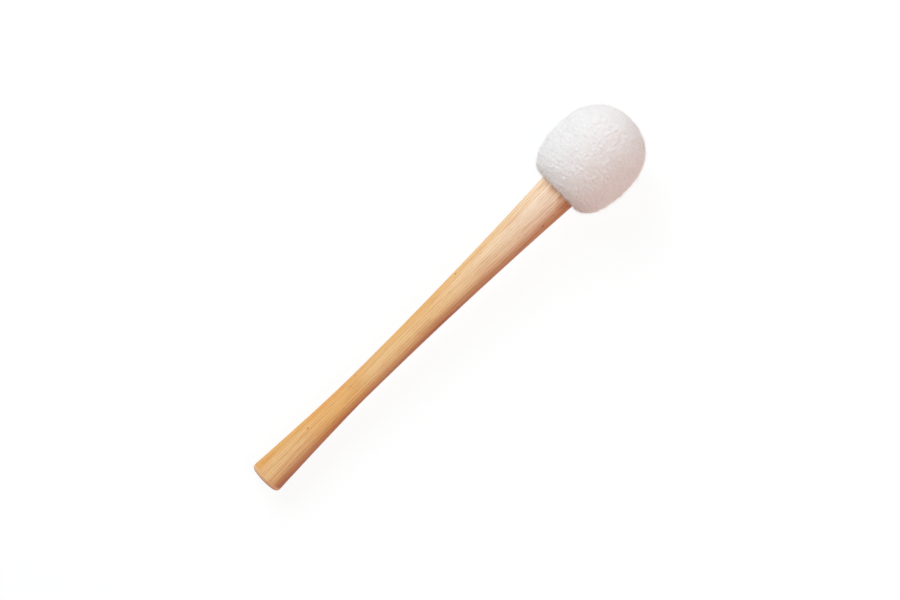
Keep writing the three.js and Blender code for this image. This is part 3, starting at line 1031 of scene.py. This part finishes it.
def kinds_of_lock(tree, given):
    """One lock of each curl, as instances to pick from. A point on it knows how far along it is."""
    half = add_node(tree, "ShaderNodeMath", {0: given["Thickness"], 1: 0.5}, operation="MULTIPLY")
    section = add_node(
        tree, "GeometryNodeCurvePrimitiveCircle", {"Resolution": LOCK_SIDES, "Radius": half.outputs[0]}
    ).outputs["Curve"]
    along = add_node(tree, "GeometryNodeSplineParameter").outputs["Factor"]
    thinner = add_node(
        tree, "ShaderNodeMath", {0: along, 1: -THINNING, 2: 1.0}, operation="MULTIPLY_ADD"
    ).outputs[0]
    sideways = crimp(tree, along, given["Length"])
    raised = add_node(tree, "ShaderNodeCombineXYZ", {"X": given["Rise"]}).outputs[0]
    kinds = add_node(tree, "GeometryNodeJoinGeometry")
    for curl in CURLS:
        sweep = math.radians(curl)
        radius = add_node(
            tree, "ShaderNodeMath", {0: given["Length"], 1: 1 / sweep}, operation="MULTIPLY"
        ).outputs[0]
        arc = add_node(
            tree,
            "GeometryNodeCurveArc",
            {"Resolution": LOCK_POINTS, "Radius": radius, "Start Angle": math.pi, "Sweep Angle": -sweep},
        ).outputs["Curve"]
        to_root = add_node(tree, "ShaderNodeCombineXYZ", {"X": radius}).outputs[0]
        rooted = add_node(
            tree, "GeometryNodeTransform", {"Geometry": arc, "Translation": to_root}
        ).outputs[0]
        crimped = add_node(
            tree, "GeometryNodeSetPosition", {"Geometry": rooted, "Offset": sideways}
        ).outputs[0]
        tipped = add_node(
            tree, "GeometryNodeTransform", {"Geometry": crimped, "Rotation": raised}
        ).outputs[0]
        marked = add_node(
            tree,
            "GeometryNodeStoreNamedAttribute",
            {"Geometry": tipped, "Name": "reach", "Value": along},
            data_type="FLOAT",
            domain="POINT",
        ).outputs[0]
        tapered = add_node(
            tree, "GeometryNodeSetCurveRadius", {"Curve": marked, "Radius": thinner}
        ).outputs[0]
        solid = add_node(
            tree,
            "GeometryNodeCurveToMesh",
            {"Curve": tapered, "Profile Curve": section, "Fill Caps": True},
        ).outputs[0]
        one = add_node(tree, "GeometryNodeGeometryToInstance", {"Geometry": solid}).outputs[0]
        tree.links.new(one, kinds.inputs[0])
    return kinds.outputs[0]


print(f"locks of {len(CURLS)} curls, {LOCK_SIDES * LOCK_POINTS} points each")

# %% [markdown]
# ## Locks all over the cloth
# A lock stands on its root as the cloth faces there. By chance it is tipped over a little, as far as
# its lean, and turned round by any angle. The seed is fixed, so that the nap is the same each time.

# %% The turn of a lock
def turned_by_chance(tree, given, upright):
    """The rotation of a lock: upright on the cloth, then leaning and turned by chance."""
    lean = given["Lean"]
    back = add_node(tree, "ShaderNodeMath", {0: lean, 1: -1.0}, operation="MULTIPLY").outputs[0]
    least = add_node(tree, "ShaderNodeCombineXYZ", {"X": back, "Y": back, "Z": -math.pi}).outputs[0]
    most = add_node(tree, "ShaderNodeCombineXYZ", {"X": lean, "Y": lean, "Z": math.pi}).outputs[0]
    chance = add_node(
        tree,
        "FunctionNodeRandomValue",
        {"Min": least, "Max": most, "Seed": given["Seed"]},
        data_type="FLOAT_VECTOR",
    ).outputs[0]
    turn = add_node(tree, "FunctionNodeEulerToRotation", {"Euler": chance}).outputs[0]
    return add_node(
        tree,
        "FunctionNodeRotateRotation",
        {"Rotation": upright, "Rotate By": turn},
        rotation_space="LOCAL",
    ).outputs[0]


print(f"a lock turns by up to {math.degrees(math.pi):.0f} degrees either way")

# %% [markdown]
# The same tree then scatters the locks over the cloth. The cloth's own value "nap" says where wool
# grows: everywhere on the outside, and not on the inside of the bag. Each lock is scaled by chance too,
# and gets a tone of its own, for the material to read.

# %% The tree that makes the nap
SMALLEST_LOCK, LARGEST_LOCK = 0.7, 1.25
TONE_SEED = 7
TREE_INPUTS = (
    ("Locks per square metre", "NodeSocketFloat"),
    ("Length", "NodeSocketFloat"),
    ("Thickness", "NodeSocketFloat"),
    ("Rise", "NodeSocketFloat"),
    ("Lean", "NodeSocketFloat"),
    ("Seed", "NodeSocketInt"),
    ("Wool", "NodeSocketMaterial"),
)


def nap_tree():
    """The node tree that covers a cloth with locks of wool."""
    tree = bpy.data.node_groups.new("wool_nap", "GeometryNodeTree")
    tree.interface.new_socket("Geometry", in_out="INPUT", socket_type="NodeSocketGeometry")
    for name, kind in TREE_INPUTS:
        tree.interface.new_socket(name, in_out="INPUT", socket_type=kind)
    tree.interface.new_socket("Geometry", in_out="OUTPUT", socket_type="NodeSocketGeometry")
    given = add_node(tree, "NodeGroupInput").outputs
    kinds = kinds_of_lock(tree, given)
    woolly = add_node(
        tree, "GeometryNodeInputNamedAttribute", {"Name": "nap"}, data_type="FLOAT"
    ).outputs[0]
    density = add_node(
        tree, "ShaderNodeMath", {0: given["Locks per square metre"], 1: woolly}, operation="MULTIPLY"
    ).outputs[0]
    roots = add_node(
        tree,
        "GeometryNodeDistributePointsOnFaces",
        {"Mesh": given["Geometry"], "Density": density, "Seed": given["Seed"]},
    ).outputs
    rotation = turned_by_chance(tree, given, roots["Rotation"])
    # Sockets 2 and 3 of a random value are the least and the most of a plain number.
    growth = add_node(
        tree,
        "FunctionNodeRandomValue",
        {2: SMALLEST_LOCK, 3: LARGEST_LOCK, "Seed": given["Seed"]},
        data_type="FLOAT",
    ).outputs[1]
    locks = add_node(
        tree,
        "GeometryNodeInstanceOnPoints",
        {
            "Points": roots["Points"],
            "Instance": kinds,
            "Pick Instance": True,
            "Rotation": rotation,
            "Scale": growth,
        },
    ).outputs[0]
    shade = add_node(
        tree, "FunctionNodeRandomValue", {2: 0.0, 3: 1.0, "Seed": TONE_SEED}, data_type="FLOAT"
    ).outputs[1]
    toned = add_node(
        tree,
        "GeometryNodeStoreNamedAttribute",
        {"Geometry": locks, "Name": "tone", "Value": shade},
        data_type="FLOAT",
        domain="INSTANCE",
    ).outputs[0]
    real = add_node(tree, "GeometryNodeRealizeInstances", {"Geometry": toned}).outputs[0]
    dressed = add_node(
        tree, "GeometryNodeSetMaterial", {"Geometry": real, "Material": given["Wool"]}
    ).outputs[0]
    add_node(tree, "NodeGroupOutput", {"Geometry": dressed})
    return tree


nap_maker = nap_tree()
print(f"{nap_maker.name}: {len(nap_maker.nodes)} nodes, {len(TREE_INPUTS)} inputs")

# %% [markdown]
# The nap is made in coats, because one mesh with all its locks would be too heavy to handle as a
# piece. The under coats are short and lie close, and they are thin enough to let the tufts of the cloth
# show. The last coat is the thinnest and the longest: it is the down that softens the head's outline.
# On its map each lock has a narrow upright strip, placed by its tone, with its tip at the top.

# %% Grow the nap
MM2_IN_M2 = 1e6
TONE_SPAN = 0.99
STRIP_STEP = 0.004
COATS = (
    # name, locks to a square mm, length, thickness, rise of the curl, lean
    ("wool_under_coat_1", 0.45, 2.2 * MM, 0.08 * MM, 0.5, 0.4),
    ("wool_under_coat_2", 0.45, 1.9 * MM, 0.06 * MM, 0.8, 0.5),
    ("wool_down", 0.42, 3.5 * MM, 0.045 * MM, 1.57, 0.7),
)


def grow(name, per_mm2, length, thickness, rise, lean, seed, wool):
    """Grows one coat of wool on the cover and returns it as a plain mesh."""
    nap_on_cloth = cover.modifiers.new(name, "NODES")
    nap_on_cloth.node_group = nap_maker
    values = {
        "Locks per square metre": per_mm2 * MM2_IN_M2,
        "Length": length,
        "Thickness": thickness,
        "Rise": rise,
        "Lean": lean,
        "Seed": seed,
        "Wool": wool,
    }
    for item in nap_maker.interface.items_tree:
        if item.in_out == "INPUT" and item.name in values:
            nap_on_cloth[item.identifier] = values[item.name]
    mesh = evaluated_mesh(cover)
    cover.modifiers.remove(nap_on_cloth)
    put_places(mesh, pressed_on_table(places_of(mesh)))
    tone, reach = (np.empty(len(mesh.vertices), np.float32) for _ in range(2))
    mesh.attributes["tone"].data.foreach_get("value", tone)
    mesh.attributes["reach"].data.foreach_get("value", reach)
    strip = STRIP_STEP * (np.arange(len(tone)) % LOCK_SIDES)
    add_map(mesh, TONE_SPAN * tone + strip, reach)
    mesh.shade_flat()
    return in_scene(name, mesh)


wool = wool_nap()
for seed, coat in enumerate(COATS):
    dress(grow(*coat, seed, wool), wool, "fleece")

# %% [markdown]
# ## Felt inside the head
# The firmness of a bass drum mallet comes from hard felt: a band that is wound once round the core,
# with its ends butted together, a disc over the end of the core, and a ring under it. Such felt is
# pressed from wool, cut with a knife, and a little compressed by the bag round it. So the pieces keep
# their cut shapes, but no edge of felt is quite sharp. A corner of an outline is replaced by a small
# curve, before the outline is turned.

# %% Edges of cut felt
FELT_EDGE = 0.9 * MM
CUT_SHARE = 0.45


def eased(points, size, closed):
    """An outline with its sharp corners cut by a small curve, as on cut felt.

    A cut takes less than half of the line to the next point, so that two cuts never meet.
    """
    turns = bends(points, closed)
    drawn = []
    for i, here in enumerate(points):
        before, after = points[i - 1], points[(i + 1) % len(points)]
        shorter = min(np.linalg.norm(before - here), np.linalg.norm(after - here))
        reach = min(size, CUT_SHARE * shorter)
        if turns[i] <= CORNER or (not closed and i in (0, len(points) - 1)):
            drawn.append(here)
            continue
        start = here + reach * (before - here) / np.linalg.norm(before - here)
        end = here + reach * (after - here) / np.linalg.norm(after - here)
        for t in (0, 0.25, 0.5, 0.75, 1):
            drawn.append((1 - t) ** 2 * start + 2 * t * (1 - t) * here + t**2 * end)
    return np.array(drawn)


band, closed = outline_of("side_felt_band")
print(f"felt band: {len(band)} corners become {len(eased(band, FELT_EDGE, closed))} points")

# %% [markdown]
# The faces of felt are never quite flat either. Nothing may press into a neighbour, so this unevenness
# only goes inwards. The band has a narrow slit where its ends are butted together.

# %% Felt pieces
FELT_STEP = 1.2 * MM
FELT_SIDES = 120
FELT_WAVE_SIZE = 6 * MM
FELT_WAVE_DEPTH = 0.12 * MM
SEAM_WIDTH = 0.6 * MM


def pressed_felt():
    """Hard pressed wool felt: matt, cream, with a fine tangle of fibres in it."""
    material, tree, own, surface = new_material("pressed_wool_felt")
    # Single fibres are too fine to show, so the tangle is drawn in curls of 0.8 mm.
    tangle = add_node(
        tree, "ShaderNodeTexNoise", {"Vector": own, "Scale": 1 / 0.8, "Detail": 4, "Distortion": 1.2}
    ).outputs["Fac"]
    clouds = add_node(tree, "ShaderNodeTexNoise", {"Vector": own, "Scale": 1 / 9}).outputs["Fac"]
    cloudy = add_node(tree, "ShaderNodeMath", {0: tangle, 1: clouds}, operation="MULTIPLY").outputs[0]
    amount = add_node(
        tree, "ShaderNodeMapRange", {"Value": cloudy, "From Min": 0.1, "From Max": 0.42}
    ).outputs["Result"]
    matt = {"Roughness": 0.95, "IOR": 1.45, "Specular IOR Level": 0.2, "Sheen Weight": 0.2}
    two_toned(tree, surface, amount, ("#c4bdae", "#e0dccf"), matt, (tangle, 0.7, 0.3 * MM))
    return material


felt = pressed_felt()
for name in ("side_felt_band", "top_felt_disc", "base_felt_ring"):
    points, closed = outline_of(name)
    rounded = smooth_outline(eased(points, FELT_EDGE, closed), FELT_STEP, closed)
    seam = SEAM_WIDTH / points[:, 1].max() if name == "side_felt_band" else 0.0
    piece = turned("felt_" + name, rounded, FELT_SIDES, closed, seam)
    roughen(piece, FELT_WAVE_SIZE, FELT_WAVE_DEPTH)
    dress(piece, felt, "hard_felt", name, fill=1.0)

# %% [markdown]
# ## Wool wadding
# Between the felt and the bag is loose carded wool. It takes up the play and makes the stroke soft. It
# is squeezed against the bag, so its outside follows the CAD outline, and it packs into lumps of about
# a centimetre, which again only go inwards.

# %% Wadding
WADDING_LUMP_SIZE = 10 * MM
WADDING_LUMP_DEPTH = 0.5 * MM


def carded_wool():
    """Loose carded wool: cream, matt, cloudy, with curled fibres in it."""
    material, tree, own, surface = new_material("carded_wool")
    # The fibres are too fine to show here as well, and lie looser, so their curls are 1.5 mm wide.
    curls = add_node(
        tree, "ShaderNodeTexNoise", {"Vector": own, "Scale": 1 / 1.5, "Detail": 3, "Distortion": 2.5}
    ).outputs["Fac"]
    matt = {"Roughness": 1.0, "IOR": 1.45, "Specular IOR Level": 0.15, "Sheen Weight": 0.3}
    two_toned(tree, surface, curls, ("#e2d9c6", "#f8f3e8"), matt, (curls, 0.8, 0.6 * MM))
    return material


points, _ = outline_of("wool_padding")
wadding = turned("wool_wadding", smooth_outline(points, FELT_STEP), FELT_SIDES)
roughen(wadding, WADDING_LUMP_SIZE, WADDING_LUMP_DEPTH)
dress(wadding, carded_wool(), "wool_wadding", "wool_padding", fill=0.9)

# %% [markdown]
# ## The draw thread
# A waxed linen thread runs twice round in a channel of the hem and draws the mouth of the bag into a
# groove round the neck. It is laid from three plies. Its path is a coil round the axis, and a section
# with three lobes is carried along that path and turned as it goes, which gives the twist of the plies.

# %% Draw thread
THREAD_TURNS = 2
PLIES = 3
PLY_DEPTH = 0.16
TWIST_LENGTH = 2.4 * MM
THREAD_STEP = 0.3 * MM
THREAD_SIDES = 12


def waxed_linen():
    """Waxed linen thread: cream, with a dull waxy gloss and fine fibres in it."""
    material, tree, own, surface = new_material("waxed_linen_thread")
    # The fibres are drawn a quarter of a millimetre wide, which is coarser than real ones.
    fibres = add_node(
        tree, "ShaderNodeTexNoise", {"Vector": own, "Scale": 1 / 0.25, "Detail": 2}
    ).outputs["Fac"]
    two_toned(tree, surface, fibres, ("#d8cdb2", "#f0e9d6"), {"Roughness": 0.5, "IOR": 1.45})
    return material


def wound_thread():
    """The thread as a closed mesh, with its path read off the CAD thread."""
    own = to_mallet([v.co for v in frame["nodes"]["draw_thread"].data.vertices])
    radii = np.hypot(own[:, 1], own[:, 2])
    coil, thick = (radii.max() + radii.min()) / 2, (radii.max() - radii.min()) / 2
    first, last = own[:, 0].min() + thick, own[:, 0].max() - thick
    length = THREAD_TURNS * 2 * math.pi * coil
    shares = np.linspace(0, 1, round(length / THREAD_STEP) + 1)
    angles = THREAD_TURNS * 2 * math.pi * shares
    out = np.stack([0 * angles, np.sin(angles), np.cos(angles)], 1)
    middle = coil * out + np.outer(first + (last - first) * shares, (1, 0, 0))
    phase = 2 * math.pi * np.arange(THREAD_SIDES) / THREAD_SIDES
    twist = 2 * math.pi * length / TWIST_LENGTH * shares
    lobes = 1 - PLY_DEPTH * (1 - np.cos(PLIES * (phase[None, :] - twist[:, None]))) / 2
    rings = (
        middle[:, None, :]
        + (thick * lobes * np.cos(phase))[:, :, None] * out[:, None, :]
        + (thick * lobes * np.sin(phase))[:, :, None] * np.array((1, 0, 0))
    )
    count = len(shares)
    faces = [tuple(range(THREAD_SIDES)), tuple((count - 1) * THREAD_SIDES + np.arange(THREAD_SIDES))]
    for i in range(count - 1):
        for j in range(THREAD_SIDES):
            k = (j + 1) % THREAD_SIDES
            low, high = i * THREAD_SIDES, (i + 1) * THREAD_SIDES
            faces.append((low + j, low + k, high + k, high + j))
    piece = finish_mesh("wound_thread", to_world(rings.reshape(-1, 3)), faces)
    add_map(piece.data, np.tile(phase / (2 * math.pi), count), np.repeat(shares, THREAD_SIDES))
    return piece


dress(wound_thread(), waxed_linen(), "waxed_thread", "draw_thread")

# %% [markdown]
# ## Core, washer and screw
# The hard parts inside the head are shaped well enough by the CAD solids, so they stay and only get
# materials. The core is turned from maple, which is pale, close-grained and flecked. The washer and
# the screw are steel with a thin bright zinc plating, which is a metal that is never quite even.

# %% Materials of the hard parts
def turned_maple():
    """Maple, turned and left bare: pale and close, with short flecks along the grain."""
    material, tree, own, surface = new_material("turned_maple")
    # The flecks are 9 mm long and 0.7 mm wide, which is coarser than real ones.
    flecks = streaks(tree, own, 9, 0.7, 3, 0)
    two_toned(tree, surface, flecks, ("#d9bc8e", "#efdcbb"), {"Roughness": 0.6, "IOR": 1.5})
    return material


def zinc_plate():
    """Bright zinc plating on steel: a cool grey metal with cloudy gloss."""
    material, tree, own, surface = new_material("zinc_plated_steel")
    # The grains of the zinc are too fine to show, so they are drawn as clouds of about 2 mm.
    clouds = add_node(
        tree, "ShaderNodeTexNoise", {"Vector": own, "Scale": 1 / 2.2, "Detail": 3}
    ).outputs["Fac"]
    gloss = add_node(
        tree, "ShaderNodeMapRange", {"Value": clouds, "To Min": 0.25, "To Max": 0.45}
    ).outputs["Result"]
    shader = {"Metallic": 1.0, "Roughness": gloss}
    two_toned(tree, surface, clouds, ("#b9bdc4", "#d6d9de"), shader)
    return material


zinc = zinc_plate()
for name, material, slot_name in (
    ("head_core", turned_maple(), "maple"),
    ("retaining_washer", zinc, "zinc_steel"),
    ("retaining_screw", zinc, "zinc_steel"),
):
    node = frame["nodes"][name]
    node.data.materials.clear()
    node.data.materials.append(material)
    print(f"{name}: CAD solid in {material.name}")

# %% [markdown]
# ## Camera
# The picture was taken from straight above the middle of the mallet, from a little under two metres.
# Two round edges show it. The mouth of the cover looks straight, so the camera sees it edge-on, and the
# rounded end of the butt looks a little bulged, so the camera sees that from the head's side. The
# picture is turned so that the mallet points up to the right.

# %% Camera
PICTURE_WIDTH = 900
MM_TO_A_PIXEL = 0.7169
LENS = 100
SENSOR = 36
PICTURE_TURN = math.radians(44.5)
AIM_ALONG = 186.4 * MM
AIM_SIDEWAYS = -1.4 * MM


def make_camera():
    """The camera of the picture, which looks down on the mallet."""
    lens = bpy.data.cameras.new("camera")
    lens.lens = LENS
    lens.sensor_width = SENSOR
    camera = in_scene("camera", lens)
    back = Vector((0, 0, 1))
    along = (axis - axis.dot(back) * back).normalized()
    across = back.cross(along)
    right = math.cos(PICTURE_TURN) * along - math.sin(PICTURE_TURN) * across
    upright = math.sin(PICTURE_TURN) * along + math.cos(PICTURE_TURN) * across
    aim = butt + axis * AIM_ALONG + side * AIM_SIDEWAYS
    distance = LENS / SENSOR * PICTURE_WIDTH * MM_TO_A_PIXEL * MM
    turn = Matrix((right, upright, back)).transposed().to_4x4()
    camera.matrix_world = Matrix.Translation(aim + back * distance) @ turn
    bpy.context.scene.camera = camera
    print(f"camera {distance:.2f} m from the mallet")


make_camera()

# %% [markdown]
# ## Table
# The mallet lies on a plain white table. The table has a pale colour for the light that falls on it.
# For the camera, and for what shines, it also gives light of its own, so that it shows white and still
# keeps the soft shadow of the mallet. Its own colour is cool there, so that the warm light leaves the
# shadow grey.

# %% Table
TABLE_HALF = 4.0
TABLE_GLOW = 0.89
LIT_WITHIN, DARK_BEYOND = 0.4, 1.2


def white_to_the_eye(tree):
    """One for the rays that see a thing directly, in a mirror or through glass."""
    rays = add_node(tree, "ShaderNodeLightPath").outputs
    seen = add_node(
        tree,
        "ShaderNodeMath",
        {0: rays["Is Camera Ray"], 1: rays["Is Glossy Ray"]},
        operation="MAXIMUM",
    ).outputs[0]
    return add_node(
        tree, "ShaderNodeMath", {0: seen, 1: rays["Is Transmission Ray"]}, operation="MAXIMUM"
    ).outputs[0]


def white_table():
    """A matt white table top, such as coated board, that shows white and takes a shadow."""
    material = bpy.data.materials.new("white_table")
    tree = empty_tree(material)
    seen = white_to_the_eye(tree)
    place = add_node(tree, "ShaderNodeTexCoord").outputs["Object"]
    away = add_node(tree, "ShaderNodeVectorMath", {0: place}, operation="LENGTH").outputs["Value"]
    # Far from the mallet, where the lamps hardly reach, the glow alone makes it white.
    glow = add_node(
        tree,
        "ShaderNodeMapRange",
        {"Value": away, "From Min": LIT_WITHIN, "From Max": DARK_BEYOND, "To Min": TABLE_GLOW},
    ).outputs["Result"]
    glow = add_node(tree, "ShaderNodeMath", {0: seen, 1: glow}, operation="MULTIPLY").outputs[0]
    tint = add_node(
        tree,
        "ShaderNodeMix",
        {MIX_FACTOR: seen, MIX_A: colour("#ece4df"), MIX_B: colour("#6a7071")},
        data_type="RGBA",
    ).outputs[MIXED]
    board = add_node(
        tree,
        "ShaderNodeBsdfPrincipled",
        {
            "Base Color": tint,
            "Roughness": 0.9,
            "Specular IOR Level": 0.0,
            "Emission Color": (1, 1, 1, 1),
            "Emission Strength": glow,
        },
    )
    add_node(tree, "ShaderNodeOutputMaterial", {"Surface": board.outputs[0]})
    return material


def make_table():
    """The table top, which isn't part of the mallet."""
    mesh = bpy.data.meshes.new("table")
    corners = [(x * TABLE_HALF, y * TABLE_HALF, 0) for x, y in ((-1, -1), (1, -1), (1, 1), (-1, 1))]
    mesh.from_pydata(corners, [], [(0, 1, 2, 3)])
    mesh.materials.append(white_table())
    table = in_scene("table", mesh)
    print(f"table {2 * TABLE_HALF:.0f} m wide")


make_table()

# %% [markdown]
# ## Light
# A large soft box lights the mallet from the upper left of the picture, and a weaker one stands high
# on the other side. Low light comes back from the room. From the lower right it is warm and makes the
# shaded side of the fleece a little pink, and from beyond the head it is faint and cool. The world
# adds a little light from all sides, and is white to the camera, as the table is.

# %% Lamps and world
ROOM_LIGHT = 0.16
LAMP_DISTANCE = 1.5
LAMPS = (
    # name, the direction it shines from, width in metres, power in watts, tint
    ("soft_box", (0.30, 1.0, 0.72), 1.4, 20.4, "#effaff"),
    ("top_light", (0.2, -0.5, 0.82), 1.1, 8.6, "#ffefe7"),
    ("warm_return", (-0.3, -1.0, 0.18), 1.1, 4.2, "#ffb8a6"),
    ("cool_return", (1.0, -0.35, 0.35), 1.1, 1.6, "#e4f0ff"),
)


def make_lamp(name, direction, width, power, tint):
    """A round soft box that looks at the middle of the mallet from a direction."""
    light = bpy.data.lights.new(name, "AREA")
    light.shape = "DISK"
    light.size = width
    light.energy = power
    light.color = colour(tint)[:3]
    lamp = in_scene(name, light)
    way = Vector(direction).normalized()
    lamp.location = (Vector(cad_box[0]) + Vector(cad_box[1])) / 2 + way * LAMP_DISTANCE
    lamp.rotation_euler = way.to_track_quat("Z", "Y").to_euler()
    print(f"{name}: {power} W, {width} m wide")


def make_world():
    """Even light from all sides for the mallet, and white for the eye."""
    world = bpy.data.worlds.new("room")
    tree = empty_tree(world)
    room = add_node(
        tree, "ShaderNodeBackground", {"Color": colour("#ffdfd9"), "Strength": ROOM_LIGHT}
    ).outputs[0]
    white = add_node(tree, "ShaderNodeBackground", {"Color": (1, 1, 1, 1), "Strength": 1.0}).outputs[0]
    both = add_node(tree, "ShaderNodeMixShader", {0: white_to_the_eye(tree), 1: room, 2: white})
    add_node(tree, "ShaderNodeOutputWorld", {"Surface": both.outputs[0]})
    bpy.context.scene.world = world


for lamp in LAMPS:
    make_lamp(*lamp)
make_world()
bpy.context.scene.view_settings.view_transform = "Standard"
